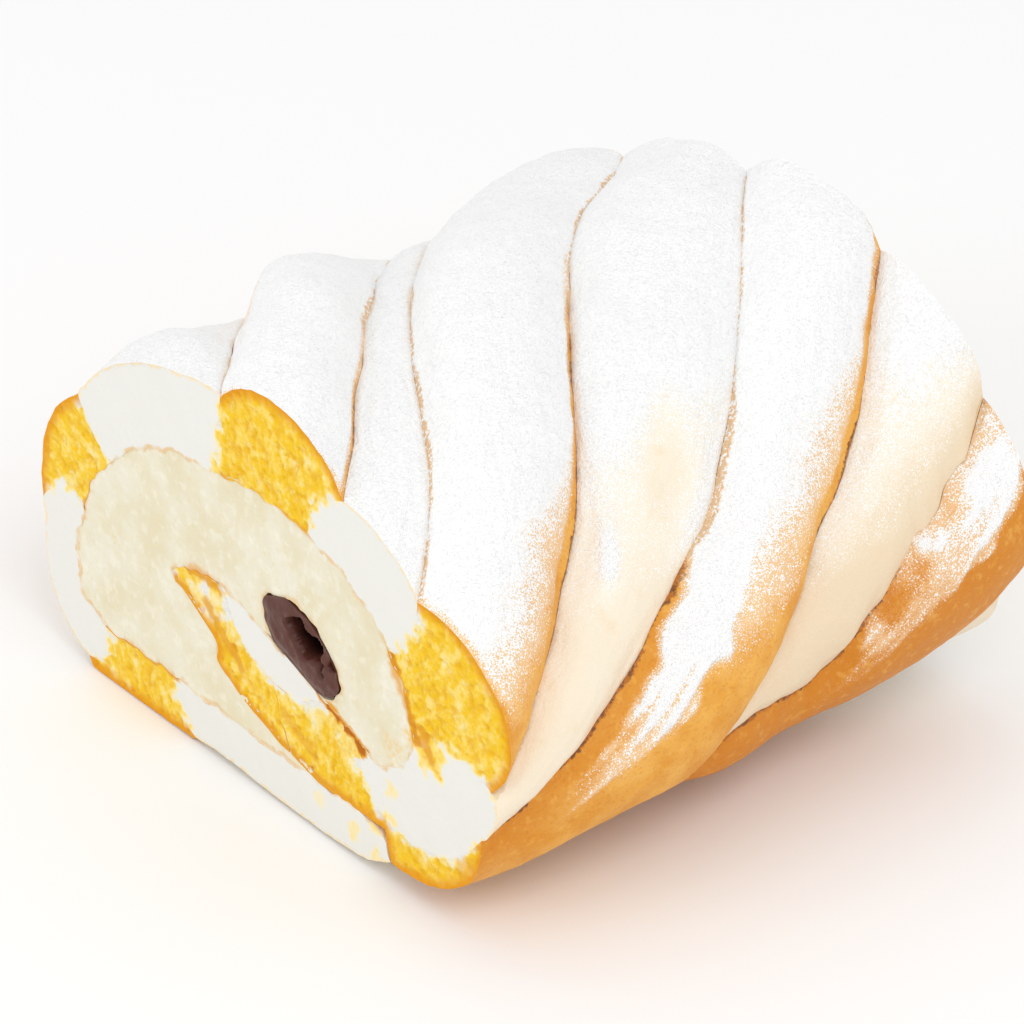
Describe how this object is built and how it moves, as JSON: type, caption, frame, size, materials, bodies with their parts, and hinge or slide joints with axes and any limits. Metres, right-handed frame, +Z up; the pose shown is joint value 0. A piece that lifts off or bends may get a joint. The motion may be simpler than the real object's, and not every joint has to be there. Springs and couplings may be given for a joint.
{
  "type": "swiss roll cake",
  "caption": "Piped sponge and meringue sheet rolled round a cream filling with a dark paste core, cut straight at both ends, resting flat.",
  "frame": {"origin": "on the table under the middle of the roll", "axes": "+X along the roll, from the near cut to the far one; +Z up; +Y towards the side where the sheet climbs from the bottom to the crown"},
  "size_m": [0.101, 0.1174, 0.0728],
  "materials": {
    "sponge": "soft yellow crumb with a golden baked crust",
    "meringue": "dry matt off-white baked meringue",
    "cream": "smooth ivory cream, finely mottled where cut",
    "paste": "glossy dark brown paste",
    "sugar": "fine dry icing sugar"
  },
  "bodies": {
    "root": {"cream_filling": "cream", "dark_paste_core": "paste", "meringue_rope_1": "meringue", "meringue_rope_2": "meringue", "meringue_rope_3": "meringue", "meringue_rope_4": "meringue", "meringue_rope_5": "meringue", "meringue_rope_6": "meringue", "meringue_rope_7": "meringue", "meringue_rope_8": "meringue", "sponge_rope_1": "sponge", "sponge_rope_2": "sponge", "sponge_rope_3": "sponge", "sponge_rope_4": "sponge", "sponge_rope_5": "sponge", "sponge_rope_6": "sponge", "sponge_rope_7": "sponge"}
  },
  "joints": []
}
